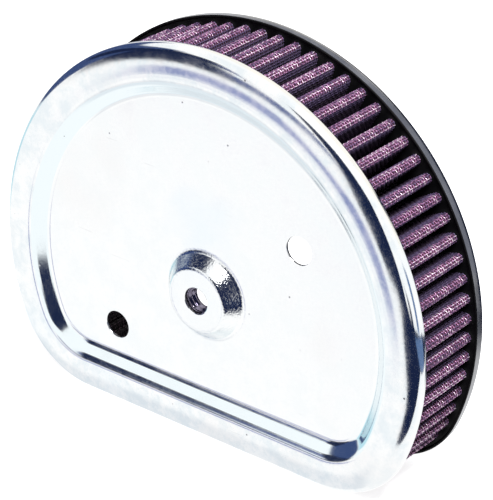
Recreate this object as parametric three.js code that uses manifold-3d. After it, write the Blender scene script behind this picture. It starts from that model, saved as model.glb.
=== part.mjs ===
// D-shaped pleated air filter element: a pressed steel front plate, a pleated
// gauze pack between two wire screens, and a steel pan with a rubber seal behind.
// The element stands on its flat side. X runs across it, Z up, and the closed
// front plate faces -Y. The origin is at the middle of the flat side.

import * as THREE from 'three';
import { mergeVertices } from 'three/addons/utils/BufferGeometryUtils.js';
import Module from 'manifold-3d';

const wasm = await Module();
wasm.setup();

// Outline of the D, in millimetres.
const ARC_RADIUS = 95;
const CORNER_RADIUS = 35;
const ARC_CENTRE_HEIGHT = 58;
const ARC_STEPS = 30;
const CORNER_STEPS = 6;

// Depths are measured backwards from the face of the front rim.
const BOSS_PROUD = 1.5;
const SEAL_REAR = 43;
const RIM_Y = -(SEAL_REAR - BOSS_PROUD) / 2;
const GAP = 0.3;

// Front plate. The rim and recess are insets from the outline.
const PLATE_SHEET = 1;
const SKIRT_DEPTH = 5.2;
const SHOULDER_RADIUS = 4;
const RIM_WIDTH = 14;
const STEP_WIDTH = 5;
const RECESS_DEPTH = 4;
const STEP_FILLET = 3;
const PRESSED_RING_WIDTH = 22;
const FLOOR_LAP = 1;

// Boss in the middle of the plate, and the two punched holes beside it.
const BOSS_BASE_RADIUS = 16.6;
const BOSS_TOP_RADIUS = 12.2;
const BOSS_FILLET = 1.5;
const BOSS_FOOT_WIDTH = 2.4;
const BOSS_HOLE_RADIUS = 5.1;
const BOSS_STEPS = 32;
const PUNCHED_HOLE_RADIUS = 5.3;
const PUNCHED_HOLES = [[-42, -26.8], [41, 31.5]];

// Threaded insert welded behind the boss.
const INSERT_BORE_RADIUS = 4;
const INSERT_FLANGE_RADIUS = 9;
const INSERT_FLANGE_THICKNESS = 1.3;
const INSERT_HEX_RADIUS = 7.2;
const INSERT_SLEEVE = 1;
const INSERT_LAP = 0.5;
const INSERT_REAR = 5;

// Potting that fills the back of the front rim, with a lip inside the pack.
const POTTING_SHOULDER = 3.6;
const POTTING_RIM_INSET = 13.2;
const POTTING_FLOOR_INSET = 18.1;
const POTTING_LIP_WIDTH = 2.4;
const POTTING_LIP_DEPTH = 3.7;

// Pleated pack.
const PLEATS = 72;
const PLEAT_PHASE = 0.13;
const PITCH_LINE_INSET = 7;
const CREST_INSET = 2.4;
const VALLEY_INSET = 17;
const CREST_HALF_WIDTH = 2;
const CREST_SHOULDER = 1;
const CREST_DROP = 1.2;
const VALLEY_HALF_WIDTH = 0.45;
const LAYER = 0.3;
const PACK_FRONT = 6.5;
const PACK_REAR = 36.9;

// Crimp strip that joins the two ends of the pleated strip.
const CRIMP_PLEAT = 0;
const CRIMP_HALF_WIDTH = 2.85;
const CRIMP_SHEET = 0.4;
const CRIMP_INSETS = [15, 19.2];
const CRIMP_DEPTHS = [9.6, 36.4];

// Rear pan, its channel of potting and the seal in its groove.
const PAN_SHEET = 0.9;
const PAN_FRONT = 35.5;
const PAN_REAR = 42;
const PAN_WIDTH = 21;
const PAN_SHOULDER = 3;
const PAN_INNER_FRONT = 36.5;
const GROOVE_FLOOR = 40.5;
const GROOVE_INSETS = [4.5, 6, 17, 18.5];
const PAN_INNER_FILLET = 1.5;
const REAR_POTTING_FRONT = 37.2;
const REAR_POTTING_CHAMFER = 1.5;
const GROOVE_WALL_SHIFT = 0.5;
const SEAL_INSETS = [6.9, 16.1];
const SEAL_CHAMFER = 0.8;

const materials = {
  zincPlate: new THREE.MeshStandardMaterial({ color: 0xdfe6ea, roughness: 0.22, metalness: 1 }),
  insertSteel: new THREE.MeshStandardMaterial({ color: 0x8d8f94, roughness: 0.4, metalness: 1 }),
  frontPotting: new THREE.MeshStandardMaterial({ color: 0x1b1b1d, roughness: 0.7, metalness: 0 }),
  rearPotting: new THREE.MeshStandardMaterial({ color: 0x141416, roughness: 0.6, metalness: 0 }),
  outerScreen: new THREE.MeshStandardMaterial({ color: 0xc9b3c6, roughness: 0.4, metalness: 0.7 }),
  gauze: new THREE.MeshStandardMaterial({ color: 0xa2527e, roughness: 0.95, metalness: 0 }),
  innerScreen: new THREE.MeshStandardMaterial({ color: 0xb8a9b8, roughness: 0.45, metalness: 0.7 }),
  crimpSteel: new THREE.MeshStandardMaterial({ color: 0xb4b8bc, roughness: 0.35, metalness: 1 }),
  panSteel: new THREE.MeshStandardMaterial({ color: 0xb9bdc4, roughness: 0.3, metalness: 1 }),
  rubber: new THREE.MeshStandardMaterial({ color: 0x1d1d20, roughness: 0.8, metalness: 0 }),
};

const CORNER_CENTRE_Z = CORNER_RADIUS;
const CORNER_DROP = ARC_CENTRE_HEIGHT - CORNER_CENTRE_Z;
const CORNER_CENTRE_X = Math.sqrt((ARC_RADIUS - CORNER_RADIUS) ** 2 - CORNER_DROP ** 2);
const TANGENT_ANGLE = -Math.atan2(CORNER_DROP, CORNER_CENTRE_X);
const CORNER_SWEEP = TANGENT_ANGLE + Math.PI / 2;
const ARC_SWEEP = Math.PI - 2 * TANGENT_ANGLE;

// The three arcs of the outline, anticlockwise seen from the front.
const OUTLINE_ARCS = [
  { x: CORNER_CENTRE_X, z: CORNER_CENTRE_Z, radius: CORNER_RADIUS,
    start: -Math.PI / 2, sweep: CORNER_SWEEP, steps: CORNER_STEPS },
  { x: 0, z: ARC_CENTRE_HEIGHT, radius: ARC_RADIUS,
    start: TANGENT_ANGLE, sweep: ARC_SWEEP, steps: ARC_STEPS },
  { x: -CORNER_CENTRE_X, z: CORNER_CENTRE_Z, radius: CORNER_RADIUS,
    start: Math.PI - TANGENT_ANGLE, sweep: CORNER_SWEEP, steps: CORNER_STEPS },
];

// The D outline moved in by an inset, as [x, z] points.
function outline(inset) {
  const points = [];
  OUTLINE_ARCS.forEach((arc, index) => {
    const first = index === 0 ? 0 : 1;
    for (let step = first; step <= arc.steps; step += 1) {
      const angle = arc.start + arc.sweep * step / arc.steps;
      const radius = arc.radius - inset;
      points.push([arc.x + radius * Math.cos(angle), arc.z + radius * Math.sin(angle)]);
    }
  });
  return points;
}

// A place on the outline and its inward direction, at a fraction of the way round.
// Fractions are even along the pitch line, and start from the middle of the flat side.
function outlineFrame(fraction) {
  const lengths = OUTLINE_ARCS.map((arc) => (arc.radius - PITCH_LINE_INSET) * arc.sweep);
  const total = 2 * CORNER_CENTRE_X + lengths.reduce((sum, length) => sum + length, 0);
  let along = (((fraction % 1) + 1) % 1) * total;
  if (along < CORNER_CENTRE_X) {
    return { x: along, z: 0, inX: 0, inZ: 1 };
  }
  along -= CORNER_CENTRE_X;
  for (let index = 0; index < OUTLINE_ARCS.length; index += 1) {
    const arc = OUTLINE_ARCS[index];
    if (along < lengths[index]) {
      const angle = arc.start + arc.sweep * along / lengths[index];
      const inX = -Math.cos(angle);
      const inZ = -Math.sin(angle);
      return { x: arc.x - arc.radius * inX, z: arc.z - arc.radius * inZ, inX, inZ };
    }
    along -= lengths[index];
  }
  return { x: -CORNER_CENTRE_X + along, z: 0, inX: 0, inZ: 1 };
}

// A point beside a frame: across runs along the outline, inset runs inward.
function fromFrame(frame, across, inset) {
  const x = frame.x + frame.inX * inset + frame.inZ * across;
  const z = frame.z + frame.inZ * inset - frame.inX * across;
  return [x, z];
}

// Rounds the corners of an open path. A corner is [u, v, radius, steps].
function roundCorners(corners) {
  const path = [];
  corners.forEach(([u, v, radius, steps], index) => {
    if (!radius) {
      path.push([u, v]);
      return;
    }
    const corner = new THREE.Vector2(u, v);
    const before = new THREE.Vector2(...corners[index - 1]).sub(corner).normalize();
    const after = new THREE.Vector2(...corners[index + 1]).sub(corner).normalize();
    const half = Math.acos(before.dot(after)) / 2;
    const bisector = before.clone().add(after).normalize();
    const centre = corner.clone().addScaledVector(bisector, radius / Math.sin(half));
    const spoke = corner.clone().addScaledVector(before, radius / Math.tan(half)).sub(centre);
    const turn = Math.PI - 2 * half;
    const direction = before.cross(after) > 0 ? -1 : 1;
    for (let step = 0; step <= steps; step += 1) {
      const ray = spoke.clone().rotateAround(new THREE.Vector2(), direction * turn * step / steps);
      path.push([centre.x + ray.x, centre.y + ray.y]);
    }
  });
  return path;
}

// Moves a path to its left by a distance, with mitred corners.
function offsetPath(path, distance, closed) {
  const count = path.length;
  const edgeNormal = (from, to) => {
    const edge = new THREE.Vector2(to[0] - from[0], to[1] - from[1]).normalize();
    return new THREE.Vector2(-edge.y, edge.x);
  };
  return path.map((point, index) => {
    const hasBefore = closed || index > 0;
    const hasAfter = closed || index < count - 1;
    const before = hasBefore ? edgeNormal(path[(index - 1 + count) % count], point) : null;
    const after = hasAfter ? edgeNormal(point, path[(index + 1) % count]) : null;
    const first = before ?? after;
    const second = after ?? before;
    const mitre = first.clone().add(second).multiplyScalar(distance / (1 + first.dot(second)));
    return [point[0] + mitre.x, point[1] + mitre.y];
  });
}

// A closed body through a ring of loops that all have the same number of points.
function ringSolid(loops) {
  const count = loops[0].length;
  const positions = loops.flat().flat();
  const indices = [];
  for (let row = 0; row < loops.length; row += 1) {
    const next = (row + 1) % loops.length;
    for (let column = 0; column < count; column += 1) {
      const right = (column + 1) % count;
      const a = row * count + column;
      const b = row * count + right;
      const c = next * count + right;
      const d = next * count + column;
      indices.push(a, b, c, a, c, d);
    }
  }
  const geometry = new THREE.BufferGeometry();
  geometry.setAttribute('position', new THREE.Float32BufferAttribute(positions, 3));
  geometry.setIndex(indices);
  return faceOutward(geometry);
}

// Turns every face round if the body's signed volume is negative.
function faceOutward(geometry) {
  const position = geometry.attributes.position;
  const index = geometry.index;
  const [a, b, c] = [new THREE.Vector3(), new THREE.Vector3(), new THREE.Vector3()];
  let volume = 0;
  for (let corner = 0; corner < index.count; corner += 3) {
    a.fromBufferAttribute(position, index.getX(corner));
    b.fromBufferAttribute(position, index.getX(corner + 1));
    c.fromBufferAttribute(position, index.getX(corner + 2));
    volume += a.dot(b.cross(c));
  }
  if (volume < 0) {
    for (let corner = 0; corner < index.count; corner += 3) {
      const second = index.getX(corner + 1);
      index.setX(corner + 1, index.getX(corner + 2));
      index.setX(corner + 2, second);
    }
  }
  geometry.computeVertexNormals();
  return geometry;
}

// Sweeps a closed [inset, depth] section around the outline.
function sweepSection(section) {
  const loops = section.map(([inset, depth]) => {
    return outline(inset).map(([x, z]) => [x, RIM_Y + depth, z]);
  });
  return ringSolid(loops);
}

// Turns a closed [radius, depth] section around the axis of the boss.
function turnSection(section, steps) {
  const points = [...section, section[0]].map(([radius, depth]) => new THREE.Vector2(radius, depth));
  const geometry = new THREE.LatheGeometry(points, steps);
  geometry.translate(0, RIM_Y, ARC_CENTRE_HEIGHT);
  return geometry;
}

// Extrudes a shape drawn in X and Z from one depth to another.
function extrudeDepth(shape, front, rear) {
  const geometry = new THREE.ExtrudeGeometry(shape, {
    depth: rear - front, bevelEnabled: false, curveSegments: 12,
  });
  geometry.rotateX(Math.PI / 2);
  geometry.translate(0, RIM_Y + rear, 0);
  return geometry;
}

function toSolid(source) {
  const geometry = source.clone();
  geometry.deleteAttribute('normal');
  geometry.deleteAttribute('uv');
  const merged = faceOutward(mergeVertices(geometry, 1e-4));
  return new wasm.Manifold(new wasm.Mesh({
    numProp: 3,
    vertProperties: new Float32Array(merged.attributes.position.array),
    triVerts: new Uint32Array(merged.index.array),
  }));
}

function toGeometry(solid) {
  const mesh = solid.getMesh();
  const geometry = new THREE.BufferGeometry();
  geometry.setAttribute('position', new THREE.Float32BufferAttribute(mesh.vertProperties, 3));
  geometry.setIndex(Array.from(mesh.triVerts));
  geometry.computeVertexNormals();
  return geometry;
}

// A sheet between a path and its parallel, as a closed section.
function sheetSection(path, thickness) {
  return [...path, ...offsetPath(path, thickness, false).reverse()];
}

function frontPlate() {
  const recessInset = RIM_WIDTH + STEP_WIDTH;
  const ringPath = roundCorners([
    [0, SKIRT_DEPTH],
    [0, 0, SHOULDER_RADIUS, 4],
    [RIM_WIDTH, 0, STEP_FILLET, 2],
    [recessInset, RECESS_DEPTH, STEP_FILLET, 2],
    [PRESSED_RING_WIDTH, RECESS_DEPTH],
  ]);
  const bossPath = roundCorners([
    [BOSS_BASE_RADIUS + BOSS_FOOT_WIDTH, RECESS_DEPTH],
    [BOSS_BASE_RADIUS, RECESS_DEPTH, BOSS_FILLET, 2],
    [BOSS_TOP_RADIUS, -BOSS_PROUD, BOSS_FILLET, 3],
    [BOSS_HOLE_RADIUS, -BOSS_PROUD],
  ]);
  const floorEdge = outline(PRESSED_RING_WIDTH - FLOOR_LAP);
  const floor = new THREE.Shape(floorEdge.map(([x, z]) => new THREE.Vector2(x, z)));
  const bossOpening = new THREE.Path();
  const bossOpeningRadius = BOSS_BASE_RADIUS + BOSS_FOOT_WIDTH - FLOOR_LAP;
  bossOpening.absarc(0, ARC_CENTRE_HEIGHT, bossOpeningRadius, 0, 2 * Math.PI, true);
  floor.holes.push(bossOpening);
  for (const [x, rise] of PUNCHED_HOLES) {
    const hole = new THREE.Path();
    hole.absarc(x, ARC_CENTRE_HEIGHT + rise, PUNCHED_HOLE_RADIUS, 0, 2 * Math.PI, true);
    floor.holes.push(hole);
  }
  const ring = toSolid(sweepSection(sheetSection(ringPath, PLATE_SHEET)));
  const sheet = toSolid(extrudeDepth(floor, RECESS_DEPTH, RECESS_DEPTH + PLATE_SHEET));
  const boss = toSolid(turnSection(sheetSection(bossPath, -PLATE_SHEET), BOSS_STEPS));
  return toGeometry(ring.add(sheet).add(boss));
}

function threadInsert() {
  const front = -BOSS_PROUD + PLATE_SHEET + GAP;
  const flangeRear = front + INSERT_FLANGE_THICKNESS;
  const hex = new THREE.Shape();
  for (let side = 0; side < 6; side += 1) {
    const angle = side * Math.PI / 3;
    const x = INSERT_HEX_RADIUS * Math.cos(angle);
    const z = ARC_CENTRE_HEIGHT + INSERT_HEX_RADIUS * Math.sin(angle);
    if (side === 0) {
      hex.moveTo(x, z);
    } else {
      hex.lineTo(x, z);
    }
  }
  const bore = new THREE.Path();
  const hexBoreRadius = INSERT_BORE_RADIUS + INSERT_SLEEVE / 2;
  bore.absarc(0, ARC_CENTRE_HEIGHT, hexBoreRadius, 0, 2 * Math.PI, true);
  hex.holes.push(bore);
  const collar = [
    [INSERT_BORE_RADIUS, front],
    [INSERT_FLANGE_RADIUS, front],
    [INSERT_FLANGE_RADIUS, flangeRear],
    [INSERT_BORE_RADIUS + INSERT_SLEEVE, flangeRear],
    [INSERT_BORE_RADIUS + INSERT_SLEEVE, INSERT_REAR],
    [INSERT_BORE_RADIUS, INSERT_REAR],
  ];
  const flange = toSolid(turnSection(collar, BOSS_STEPS));
  const body = toSolid(extrudeDepth(hex, front + INSERT_LAP, INSERT_REAR));
  return toGeometry(flange.add(body));
}

function frontPotting() {
  const side = PLATE_SHEET + GAP;
  const underFloor = RECESS_DEPTH + side;
  const bed = PACK_FRONT - GAP;
  const lipRear = underFloor + POTTING_LIP_DEPTH;
  const lipInset = PRESSED_RING_WIDTH - POTTING_LIP_WIDTH;
  return sweepSection([
    [side, bed],
    [side, POTTING_SHOULDER],
    [POTTING_SHOULDER, side],
    [POTTING_RIM_INSET, side],
    [POTTING_FLOOR_INSET, underFloor],
    [PRESSED_RING_WIDTH, underFloor],
    [PRESSED_RING_WIDTH, lipRear],
    [lipInset, lipRear],
    [lipInset, bed],
  ]);
}

// The outer face of the pleated pack, all the way round.
function pleatPath() {
  const path = [];
  for (let pleat = 0; pleat < PLEATS; pleat += 1) {
    const crest = outlineFrame((pleat + PLEAT_PHASE) / PLEATS);
    const valley = outlineFrame((pleat + PLEAT_PHASE + 0.5) / PLEATS);
    path.push(fromFrame(crest, -CREST_HALF_WIDTH, CREST_INSET + CREST_DROP));
    path.push(fromFrame(crest, -CREST_SHOULDER, CREST_INSET));
    path.push(fromFrame(crest, CREST_SHOULDER, CREST_INSET));
    path.push(fromFrame(crest, CREST_HALF_WIDTH, CREST_INSET + CREST_DROP));
    path.push(fromFrame(valley, -VALLEY_HALF_WIDTH, VALLEY_INSET));
    path.push(fromFrame(valley, VALLEY_HALF_WIDTH, VALLEY_INSET));
  }
  return path;
}

// One layer of the pack. Layer 0 is the outermost.
function pleatLayer(index) {
  const inner = index * (LAYER + GAP);
  const outerLoop = offsetPath(pleatPath(), inner, true);
  const innerLoop = offsetPath(pleatPath(), inner + LAYER, true);
  const atDepth = (loop, depth) => loop.map(([x, z]) => [x, RIM_Y + depth, z]);
  return ringSolid([
    atDepth(outerLoop, PACK_FRONT),
    atDepth(outerLoop, PACK_REAR),
    atDepth(innerLoop, PACK_REAR),
    atDepth(innerLoop, PACK_FRONT),
  ]);
}

function seamCrimp() {
  const frame = outlineFrame((CRIMP_PLEAT + PLEAT_PHASE + 0.5) / PLEATS);
  const [legInset, webInset] = CRIMP_INSETS;
  const inside = CRIMP_HALF_WIDTH - CRIMP_SHEET;
  const section = [
    [-CRIMP_HALF_WIDTH, legInset],
    [-CRIMP_HALF_WIDTH, webInset],
    [CRIMP_HALF_WIDTH, webInset],
    [CRIMP_HALF_WIDTH, legInset],
    [inside, legInset],
    [inside, webInset - CRIMP_SHEET],
    [-inside, webInset - CRIMP_SHEET],
    [-inside, legInset],
  ];
  const corners = section.map(([across, inset]) => new THREE.Vector2(...fromFrame(frame, across, inset)));
  return extrudeDepth(new THREE.Shape(corners), ...CRIMP_DEPTHS);
}

function rearPan() {
  const [grooveOpen, grooveStart, grooveEnd, grooveClose] = GROOVE_INSETS;
  const path = roundCorners([
    [0, PAN_FRONT],
    [0, PAN_REAR, PAN_SHOULDER, 3],
    [grooveOpen, PAN_REAR],
    [grooveStart, GROOVE_FLOOR],
    [grooveEnd, GROOVE_FLOOR],
    [grooveClose, PAN_REAR],
    [PAN_WIDTH, PAN_REAR, PAN_INNER_FILLET, 2],
    [PAN_WIDTH, PAN_INNER_FRONT],
  ]);
  return sweepSection(sheetSection(path, -PAN_SHEET));
}

function rearPotting() {
  const side = PAN_SHEET + GAP;
  const panFloor = PAN_REAR - side;
  const grooveRidge = GROOVE_FLOOR - side;
  const [grooveOpen, grooveStart, grooveEnd, grooveClose] = GROOVE_INSETS;
  return sweepSection([
    [side, REAR_POTTING_FRONT],
    [side, panFloor - REAR_POTTING_CHAMFER],
    [side + REAR_POTTING_CHAMFER, panFloor],
    [grooveOpen - GROOVE_WALL_SHIFT, panFloor],
    [grooveStart - GROOVE_WALL_SHIFT, grooveRidge],
    [grooveEnd + GROOVE_WALL_SHIFT, grooveRidge],
    [grooveClose + GROOVE_WALL_SHIFT, panFloor],
    [PAN_WIDTH - side, panFloor - GROOVE_WALL_SHIFT],
    [PAN_WIDTH - side, REAR_POTTING_FRONT],
  ]);
}

function rearSeal() {
  const [outer, inner] = SEAL_INSETS;
  return sweepSection([
    [outer, GROOVE_FLOOR + GAP],
    [inner, GROOVE_FLOOR + GAP],
    [inner, SEAL_REAR - SEAL_CHAMFER],
    [inner - SEAL_CHAMFER, SEAL_REAR],
    [outer + SEAL_CHAMFER, SEAL_REAR],
    [outer, SEAL_REAR - SEAL_CHAMFER],
  ]);
}

const group = new THREE.Group();

function addNode(name, geometry, material) {
  const mesh = new THREE.Mesh(geometry, material);
  mesh.name = name;
  group.add(mesh);
}

addNode('front_plate', frontPlate(), materials.zincPlate);
addNode('boss_thread_insert', threadInsert(), materials.insertSteel);
addNode('front_potting_ring', frontPotting(), materials.frontPotting);
addNode('outer_wire_screen', pleatLayer(0), materials.outerScreen);
addNode('cotton_gauze_pleats', pleatLayer(1), materials.gauze);
addNode('inner_wire_screen', pleatLayer(2), materials.innerScreen);
addNode('seam_crimp_strip', seamCrimp(), materials.crimpSteel);
addNode('rear_potting_ring', rearPotting(), materials.rearPotting);
addNode('rear_end_pan', rearPan(), materials.panSteel);
addNode('rear_sealing_gasket', rearSeal(), materials.rubber);

export default group;
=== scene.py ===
"""D-shaped pleated air filter element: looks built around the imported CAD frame.

Shapes are drawn in millimetres, and MM turns them into metres. An inset runs inward from the
outline of the D, and a depth runs backwards from the front plate's rim. Noise scales, the lamp
and the camera are in metres.
"""

import math

import bpy
import numpy as np
from mathutils import Matrix, Vector, kdtree

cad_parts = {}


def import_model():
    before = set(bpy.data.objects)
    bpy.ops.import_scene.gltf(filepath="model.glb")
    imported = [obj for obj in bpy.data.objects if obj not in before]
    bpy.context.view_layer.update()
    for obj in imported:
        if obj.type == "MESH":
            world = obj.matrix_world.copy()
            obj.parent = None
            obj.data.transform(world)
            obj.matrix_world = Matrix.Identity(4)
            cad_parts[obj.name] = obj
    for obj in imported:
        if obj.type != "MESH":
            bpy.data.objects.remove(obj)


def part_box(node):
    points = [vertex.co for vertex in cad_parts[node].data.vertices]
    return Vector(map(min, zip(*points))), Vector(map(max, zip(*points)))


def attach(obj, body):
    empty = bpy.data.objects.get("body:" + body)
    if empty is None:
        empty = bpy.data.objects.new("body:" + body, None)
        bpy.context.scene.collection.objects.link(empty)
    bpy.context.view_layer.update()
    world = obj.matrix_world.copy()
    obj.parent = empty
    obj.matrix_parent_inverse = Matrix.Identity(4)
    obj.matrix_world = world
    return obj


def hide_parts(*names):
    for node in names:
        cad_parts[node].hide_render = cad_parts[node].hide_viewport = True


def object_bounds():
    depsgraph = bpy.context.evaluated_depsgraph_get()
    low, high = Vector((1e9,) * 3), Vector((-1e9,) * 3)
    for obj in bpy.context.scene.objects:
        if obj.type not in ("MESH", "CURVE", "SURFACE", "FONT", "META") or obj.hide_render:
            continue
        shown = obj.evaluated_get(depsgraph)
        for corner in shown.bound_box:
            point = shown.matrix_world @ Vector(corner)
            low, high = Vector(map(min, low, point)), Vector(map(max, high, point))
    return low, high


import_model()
cad_low, cad_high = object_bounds()

MM = 0.001

plate_low, plate_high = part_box("front_plate")
pan_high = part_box("rear_end_pan")[1]
seal_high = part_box("rear_sealing_gasket")[1]

# Outline of the D: one large arc, two corner arcs and the flat side that it stands on
ARC_RADIUS = (plate_high.x - plate_low.x) / 2 / MM
CENTRE_Z = plate_high.z / MM - ARC_RADIUS
CORNER_RADIUS = 35.0
CORNER_X = math.sqrt((ARC_RADIUS - CORNER_RADIUS) ** 2 - (CENTRE_Z - CORNER_RADIUS) ** 2)
TANGENT = -math.atan2(CENTRE_Z - CORNER_RADIUS, CORNER_X)
CORNER_SWEEP = TANGENT + math.pi / 2
ARC_SWEEP = math.pi - 2 * TANGENT
# x, z, radius, start angle, sweep and steps of each arc, anticlockwise from the front
ARCS = [
    (CORNER_X, CORNER_RADIUS, CORNER_RADIUS, -math.pi / 2, CORNER_SWEEP, 40),
    (0.0, CENTRE_Z, ARC_RADIUS, TANGENT, ARC_SWEEP, 200),
    (-CORNER_X, CORNER_RADIUS, CORNER_RADIUS, math.pi - TANGENT, CORNER_SWEEP, 40),
]
FLAT_STEPS = 12

# Front plate: insets of the rim's folds, radii of the boss's, and depths
BOSS_PROUD = 1.5
RIM_Y = plate_low.y / MM + BOSS_PROUD
SHEET = 1.0
SKIRT_DEPTH = 5.2
SHOULDER = 3.6
CROWN_WIDTH = 7.8
CROWN_TILT = math.radians(12.0)
WALL_TOP = 14.0
WALL_FOOT = 19.0
PRESSED_RING = 22.0
RECESS = 4.0
BOSS_EDGE = 19.0
BOSS_FOOT = 16.9
BOSS_TOP = 12.4
BOSS_HOLE = 5.1
# x of each punched hole, and how far it lies above the D's centre
PUNCHED_HOLES = [(-42.0, -26.8), (41.0, 31.5)]
PUNCHED_RADIUS = 5.3

# Pleated pack: crests near the outline, valleys near the clean-air space
PLEATS = 72
PHASE = 0.13
PITCH_INSET = 7.0
CREST_INSET = 2.4
CREST_RADIUS = 2.0
CREST_STEPS = 24
VALLEY_INSET = 17.0
VALLEY_RADIUS = 0.45
VALLEY_STEPS = 12
PACK_FRONT = 6.2
PACK_REAR = 37.4
# the middle of the layers lies this far inside the pack's outer face, and they are twice as thick
PACK_MIDDLE = 0.8

# Woven screens
WIRE_RADIUS = 0.19
WIRE_PITCH = 1.27
# fold depths past which the wires take a painted shade, and past which a near-black painted shade
SHADED_FOLDS = (0.10, 0.30)

# Rear pan, its seal groove and the gasket
PAN_REAR = pan_high.y / MM - RIM_Y
PAN_LIP = 35.9
PAN_SHEET = 0.9
PAN_INNER = 21.0
GROOVE_FLOOR = PAN_REAR - 1.5
SEAL_REAR = seal_high.y / MM - RIM_Y

rng = np.random.default_rng(7)


# ---- outline


def outline(inset):
    """The D moved in by an inset, as a closed loop of [x, z] rows from the middle of the flat side."""
    half = FLAT_STEPS // 2
    rows = [(CORNER_X * k / half, inset) for k in range(half)]
    for x, z, radius, start, sweep, steps in ARCS:
        last = steps if x == -CORNER_X else steps - 1
        for k in range(last + 1):
            angle = start + sweep * k / steps
            rows.append((x + (radius - inset) * math.cos(angle), z + (radius - inset) * math.sin(angle)))
    rows += [(-CORNER_X + CORNER_X * k / half, inset) for k in range(1, half)]
    return np.array(rows)


def outline_frames(fractions):
    """Points on the outline and their inward directions, evenly spaced along the pitch line."""
    spans = [CORNER_X] + [(arc[2] - PITCH_INSET) * arc[4] for arc in ARCS] + [CORNER_X]
    ends = np.cumsum(spans)
    along = np.mod(np.asarray(fractions, float), 1.0) * ends[-1]
    point = np.stack([along, np.zeros_like(along)], -1)
    inward = np.tile([0.0, 1.0], (len(along), 1))
    for index, (x, z, radius, start, sweep, _) in enumerate(ARCS):
        on = (along >= ends[index]) & (along < ends[index + 1])
        angle = start + sweep * (along[on] - ends[index]) / spans[index + 1]
        ray = np.stack([np.cos(angle), np.sin(angle)], -1)
        point[on] = np.array([x, z]) + radius * ray
        inward[on] = -ray
    last = along >= ends[3]
    point[last] = np.stack([along[last] - ends[3] - CORNER_X, np.zeros(last.sum())], -1)
    return point, inward


def round_corners(corners):
    """Rounds an open path. A corner is (u, v), or (u, v, radius, steps) where it is rounded."""
    path = []
    for index, corner in enumerate(corners):
        here = np.array(corner[:2], float)
        if len(corner) == 2:
            path.append(here)
            continue
        radius, steps = corner[2:]
        before = np.array(corners[index - 1][:2], float) - here
        after = np.array(corners[index + 1][:2], float) - here
        before /= np.linalg.norm(before)
        after /= np.linalg.norm(after)
        half = math.acos(np.clip(before @ after, -1, 1)) / 2
        bisector = (before + after) / np.linalg.norm(before + after)
        centre = here + bisector * radius / math.sin(half)
        spoke = here + before * radius / math.tan(half) - centre
        cross = before[0] * after[1] - before[1] * after[0]
        turn = (math.pi - 2 * half) * (-1 if cross > 0 else 1)
        for step in range(steps + 1):
            angle = turn * step / steps
            c, s = math.cos(angle), math.sin(angle)
            path.append(centre + np.array([c * spoke[0] - s * spoke[1], s * spoke[0] + c * spoke[1]]))
    return np.array(path)


def offset_path(path, distance):
    """Moves an open path to its left, with mitred corners."""
    edge = np.diff(path, axis=0)
    edge /= np.linalg.norm(edge, axis=1, keepdims=True)
    normal = np.stack([-edge[:, 1], edge[:, 0]], -1)
    first = np.vstack([normal[:1], normal])
    second = np.vstack([normal, normal[-1:]])
    mitre = (first + second) / (1 + (first * second).sum(1, keepdims=True))
    return path + mitre * distance


def sheet_section(path, thickness, edge):
    """A sheet between a path and its parallel. Its four end corners are cut back by an edge."""
    loop = [*path, *offset_path(path, thickness)[::-1]]
    count = len(path)
    soft = []
    for index, point in enumerate(loop):
        if index not in (0, count - 1, count, 2 * count - 1):
            soft.append(point)
            continue
        for near in (loop[index - 1], loop[(index + 1) % len(loop)]):
            step = near - point
            length = np.linalg.norm(step)
            soft.append(point + step / length * min(edge, length * 0.4))
    return np.array(soft)


# ---- meshes


def at_depth(xz, depth):
    """Stands [x, z] rows at one depth, or at one depth each."""
    return np.column_stack([xz[:, 0], np.broadcast_to(RIM_Y + depth, len(xz)), xz[:, 1]])


def outline_row(inset, depth):
    """Points round the outline of the D."""
    return at_depth(outline(inset), depth)


def circle_row(angles, radius, depth):
    """Points round the centre of the D, at one radius or at one radius each."""
    return at_depth(np.column_stack([radius * np.cos(angles), CENTRE_Z + radius * np.sin(angles)]), depth)


def link_object(name, data):
    obj = bpy.data.objects.new(name, data)
    bpy.context.scene.collection.objects.link(obj)
    return obj


def mesh_object(name, verts_mm, *face_sets):
    """A closed mesh from millimetre points and one or more arrays of faces, turned to face outward."""
    verts = np.asarray(verts_mm, float) * MM
    face_sets = [np.asarray(faces, np.int32) for faces in face_sets]
    # the first array is enough to tell which way the surface faces
    main = face_sets[0]
    a, b, c = (verts[main[:, k]] for k in range(3))
    volume = np.einsum("ij,ij->i", a, np.cross(b, c)).sum()
    if main.shape[1] == 4:
        volume += np.einsum("ij,ij->i", a, np.cross(c, verts[main[:, 3]])).sum()
    if volume < 0:
        face_sets = [faces[:, ::-1] for faces in face_sets]
    corners = np.concatenate([faces.ravel() for faces in face_sets])
    sides = np.concatenate([np.full(len(faces), faces.shape[1]) for faces in face_sets])
    mesh = bpy.data.meshes.new(name)
    mesh.vertices.add(len(verts))
    mesh.vertices.foreach_set("co", verts.astype(np.float32).ravel())
    mesh.loops.add(len(corners))
    mesh.loops.foreach_set("vertex_index", corners)
    mesh.polygons.add(len(sides))
    mesh.polygons.foreach_set("loop_start", (np.cumsum(sides) - sides).astype(np.int32))
    mesh.update(calc_edges=True)
    mesh.shade_smooth()
    return link_object(name, mesh)


def make_object(name, verts_mm, faces, sharp=40.0):
    """A closed piece that is smooth apart from the edges sharper than an angle in degrees."""
    obj = mesh_object(name, verts_mm, faces)
    obj.data.validate()
    obj.data.set_sharp_from_angle(angle=math.radians(sharp))
    return obj


def ring_faces(rows, columns, close_rows=True):
    """Quads over a grid that closes along its columns, and along its rows if asked."""
    row = np.arange(rows if close_rows else rows - 1)[:, None]
    column = np.arange(columns)[None, :]
    right = (column + 1) % columns
    below = (row + 1) % rows
    quads = [row * columns + column, row * columns + right, below * columns + right, below * columns + column]
    return np.stack(quads, -1).reshape(-1, 4)


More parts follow.
